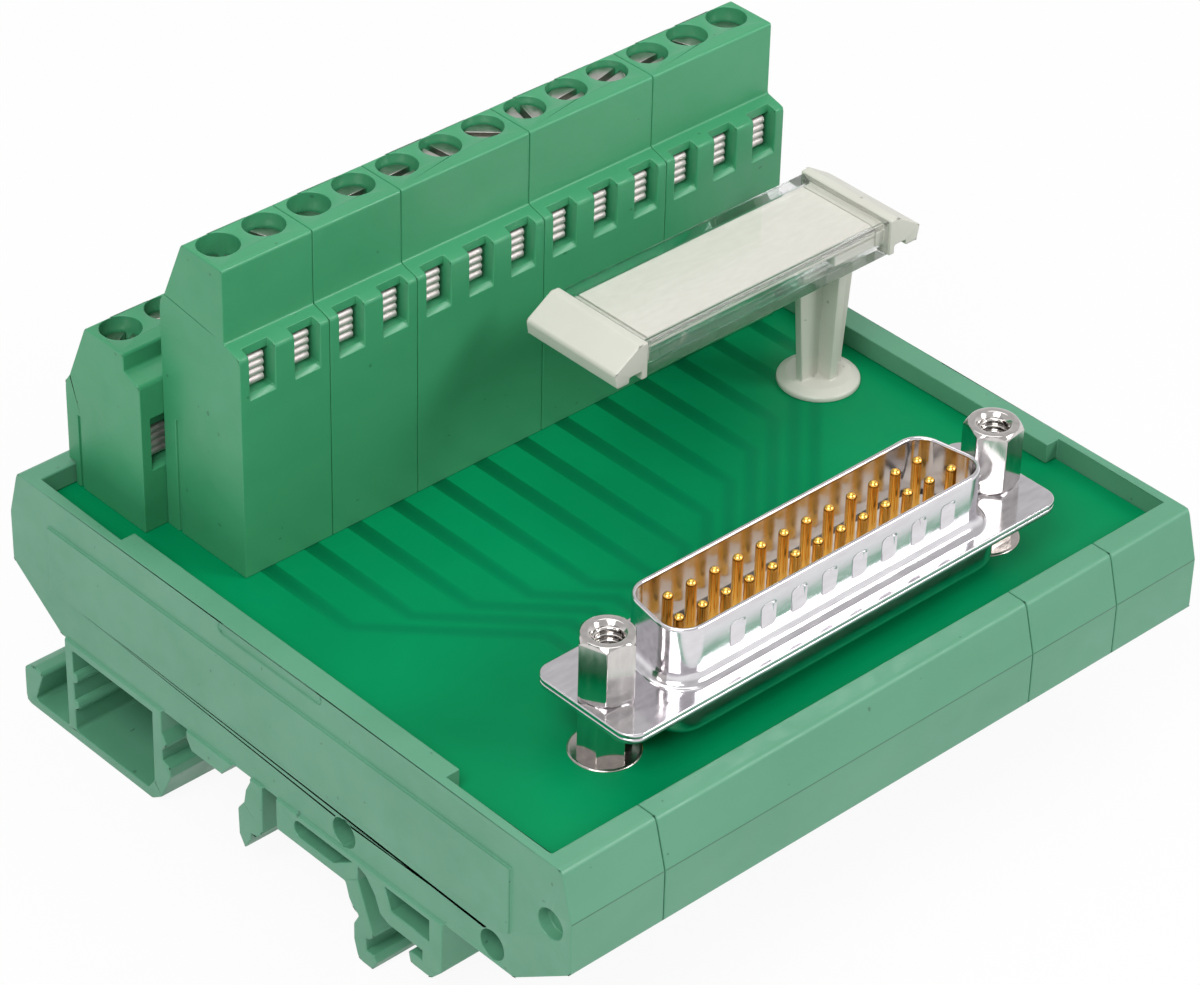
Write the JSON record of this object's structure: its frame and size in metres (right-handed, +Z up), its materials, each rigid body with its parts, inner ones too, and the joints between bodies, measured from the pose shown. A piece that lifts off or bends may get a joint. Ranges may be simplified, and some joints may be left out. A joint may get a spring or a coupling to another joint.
{
  "type": "d-sub terminal block adapter",
  "caption": "Rail-mounted interface module: an upright pin connector on a circuit board, wired to two stepped rows of screw terminals, with a clear marker bar.",
  "frame": {"origin": "on the ground, under the middle of the housing", "axes": "+Z up, +X along the mounting rail, +Y across the rail from the connector towards the terminals"},
  "size_m": [0.0778, 0.077, 0.056],
  "materials": {
    "housing": "moulded, satin",
    "board": "solder mask, gloss",
    "plug_shell": "bright tin plate",
    "insulator": "moulded, satin",
    "gold_contact": "gold plated",
    "nickel": "bright nickel plate",
    "terminal_housing": "moulded, satin",
    "clamp": "nickel plate",
    "clamp_screw": "zinc plate",
    "marker_plastic": "moulded, satin",
    "marker_label": "card, matt",
    "marker_clear": "clear moulding"
  },
  "bodies": {
    "adapter": {"end_element_left": "housing", "base_element_wide": "housing", "base_element_narrow": "housing", "end_element_right": "housing", "circuit_board": "board", "connector_front_shell": "plug_shell", "connector_rear_shell": "plug_shell", "connector_insulator": "insulator", "contact_pins": "gold_contact", "screwlock_left": "nickel", "screwlock_right": "nickel", "spacer_left": "nickel", "spacer_right": "nickel", "spacer_screws": "nickel", "upper_block_1": "terminal_housing", "upper_block_2": "terminal_housing", "upper_block_3": "terminal_housing", "upper_block_4": "terminal_housing", "upper_block_5": "terminal_housing", "lower_block_1": "terminal_housing", "lower_block_2": "terminal_housing", "lower_block_3": "terminal_housing", "lower_block_4": "terminal_housing", "lower_block_5": "terminal_housing", "upper_clamps": "clamp", "lower_clamps": "clamp", "marker_post": "marker_plastic", "marker_cap_left": "marker_plastic", "marker_cap_right": "marker_plastic", "marker_strip": "marker_label", "marker_cover": "marker_clear"},
    "upper_screw_1": {"upper_screw_1": "clamp_screw"},
    "upper_screw_2": {"upper_screw_2": "clamp_screw"},
    "upper_screw_3": {"upper_screw_3": "clamp_screw"},
    "upper_screw_4": {"upper_screw_4": "clamp_screw"},
    "upper_screw_5": {"upper_screw_5": "clamp_screw"},
    "upper_screw_6": {"upper_screw_6": "clamp_screw"},
    "upper_screw_7": {"upper_screw_7": "clamp_screw"},
    "upper_screw_8": {"upper_screw_8": "clamp_screw"},
    "upper_screw_9": {"upper_screw_9": "clamp_screw"},
    "upper_screw_10": {"upper_screw_10": "clamp_screw"},
    "upper_screw_11": {"upper_screw_11": "clamp_screw"},
    "upper_screw_12": {"upper_screw_12": "clamp_screw"},
    "upper_screw_13": {"upper_screw_13": "clamp_screw"},
    "lower_screw_1": {"lower_screw_1": "clamp_screw"},
    "lower_screw_2": {"lower_screw_2": "clamp_screw"},
    "lower_screw_3": {"lower_screw_3": "clamp_screw"},
    "lower_screw_4": {"lower_screw_4": "clamp_screw"},
    "lower_screw_5": {"lower_screw_5": "clamp_screw"},
    "lower_screw_6": {"lower_screw_6": "clamp_screw"},
    "lower_screw_7": {"lower_screw_7": "clamp_screw"},
    "lower_screw_8": {"lower_screw_8": "clamp_screw"},
    "lower_screw_9": {"lower_screw_9": "clamp_screw"},
    "lower_screw_10": {"lower_screw_10": "clamp_screw"},
    "lower_screw_11": {"lower_screw_11": "clamp_screw"},
    "lower_screw_12": {"lower_screw_12": "clamp_screw"},
    "lower_screw_13": {"lower_screw_13": "clamp_screw"}
  },
  "joints": [
    {"name": "upper_screw_1_turn", "type": "hinge", "parent": "adapter", "child": "upper_screw_1", "pos_m": [-0.02872, 0.01885, 0.05305], "axis": [0, 0, 1], "range_deg": [-1530, 270]},
    {"name": "upper_screw_2_turn", "type": "hinge", "parent": "adapter", "child": "upper_screw_2", "pos_m": [-0.02364, 0.01885, 0.05305], "axis": [0, 0, 1], "range_deg": [-1530, 270]},
    {"name": "upper_screw_3_turn", "type": "hinge", "parent": "adapter", "child": "upper_screw_3", "pos_m": [-0.01856, 0.01885, 0.05305], "axis": [0, 0, 1], "range_deg": [-1530, 270]},
    {"name": "upper_screw_4_turn", "type": "hinge", "parent": "adapter", "child": "upper_screw_4", "pos_m": [-0.01348, 0.01885, 0.05305], "axis": [0, 0, 1], "range_deg": [-1530, 270]},
    {"name": "upper_screw_5_turn", "type": "hinge", "parent": "adapter", "child": "upper_screw_5", "pos_m": [-0.0084, 0.01885, 0.05305], "axis": [0, 0, 1], "range_deg": [-1530, 270]},
    {"name": "upper_screw_6_turn", "type": "hinge", "parent": "adapter", "child": "upper_screw_6", "pos_m": [-0.00332, 0.01885, 0.05305], "axis": [0, 0, 1], "range_deg": [-1530, 270]},
    {"name": "upper_screw_7_turn", "type": "hinge", "parent": "adapter", "child": "upper_screw_7", "pos_m": [0.00176, 0.01885, 0.05305], "axis": [0, 0, 1], "range_deg": [-1530, 270]},
    {"name": "upper_screw_8_turn", "type": "hinge", "parent": "adapter", "child": "upper_screw_8", "pos_m": [0.00684, 0.01885, 0.05305], "axis": [0, 0, 1], "range_deg": [-1530, 270]},
    {"name": "upper_screw_9_turn", "type": "hinge", "parent": "adapter", "child": "upper_screw_9", "pos_m": [0.01192, 0.01885, 0.05305], "axis": [0, 0, 1], "range_deg": [-1530, 270]},
    {"name": "upper_screw_10_turn", "type": "hinge", "parent": "adapter", "child": "upper_screw_10", "pos_m": [0.017, 0.01885, 0.05305], "axis": [0, 0, 1], "range_deg": [-1530, 270]},
    {"name": "upper_screw_11_turn", "type": "hinge", "parent": "adapter", "child": "upper_screw_11", "pos_m": [0.02208, 0.01885, 0.05305], "axis": [0, 0, 1], "range_deg": [-1530, 270]},
    {"name": "upper_screw_12_turn", "type": "hinge", "parent": "adapter", "child": "upper_screw_12", "pos_m": [0.02716, 0.01885, 0.05305], "axis": [0, 0, 1], "range_deg": [-1530, 270]},
    {"name": "upper_screw_13_turn", "type": "hinge", "parent": "adapter", "child": "upper_screw_13", "pos_m": [0.03224, 0.01885, 0.05305], "axis": [0, 0, 1], "range_deg": [-1530, 270]},
    {"name": "lower_screw_1_turn", "type": "hinge", "parent": "adapter", "child": "lower_screw_1", "pos_m": [-0.03126, 0.03015, 0.0398], "axis": [0, 0, 1], "range_deg": [-1530, 270]},
    {"name": "lower_screw_2_turn", "type": "hinge", "parent": "adapter", "child": "lower_screw_2", "pos_m": [-0.02618, 0.03015, 0.0398], "axis": [0, 0, 1], "range_deg": [-1530, 270]},
    {"name": "lower_screw_3_turn", "type": "hinge", "parent": "adapter", "child": "lower_screw_3", "pos_m": [-0.0211, 0.03015, 0.0398], "axis": [0, 0, 1], "range_deg": [-1530, 270]},
    {"name": "lower_screw_4_turn", "type": "hinge", "parent": "adapter", "child": "lower_screw_4", "pos_m": [-0.01602, 0.03015, 0.0398], "axis": [0, 0, 1], "range_deg": [-1530, 270]},
    {"name": "lower_screw_5_turn", "type": "hinge", "parent": "adapter", "child": "lower_screw_5", "pos_m": [-0.01094, 0.03015, 0.0398], "axis": [0, 0, 1], "range_deg": [-1530, 270]},
    {"name": "lower_screw_6_turn", "type": "hinge", "parent": "adapter", "child": "lower_screw_6", "pos_m": [-0.00586, 0.03015, 0.0398], "axis": [0, 0, 1], "range_deg": [-1530, 270]},
    {"name": "lower_screw_7_turn", "type": "hinge", "parent": "adapter", "child": "lower_screw_7", "pos_m": [-0.00078, 0.03015, 0.0398], "axis": [0, 0, 1], "range_deg": [-1530, 270]},
    {"name": "lower_screw_8_turn", "type": "hinge", "parent": "adapter", "child": "lower_screw_8", "pos_m": [0.0043, 0.03015, 0.0398], "axis": [0, 0, 1], "range_deg": [-1530, 270]},
    {"name": "lower_screw_9_turn", "type": "hinge", "parent": "adapter", "child": "lower_screw_9", "pos_m": [0.00938, 0.03015, 0.0398], "axis": [0, 0, 1], "range_deg": [-1530, 270]},
    {"name": "lower_screw_10_turn", "type": "hinge", "parent": "adapter", "child": "lower_screw_10", "pos_m": [0.01446, 0.03015, 0.0398], "axis": [0, 0, 1], "range_deg": [-1530, 270]},
    {"name": "lower_screw_11_turn", "type": "hinge", "parent": "adapter", "child": "lower_screw_11", "pos_m": [0.01954, 0.03015, 0.0398], "axis": [0, 0, 1], "range_deg": [-1530, 270]},
    {"name": "lower_screw_12_turn", "type": "hinge", "parent": "adapter", "child": "lower_screw_12", "pos_m": [0.02462, 0.03015, 0.0398], "axis": [0, 0, 1], "range_deg": [-1530, 270]},
    {"name": "lower_screw_13_turn", "type": "hinge", "parent": "adapter", "child": "lower_screw_13", "pos_m": [0.0297, 0.03015, 0.0398], "axis": [0, 0, 1], "range_deg": [-1530, 270]}
  ]
}
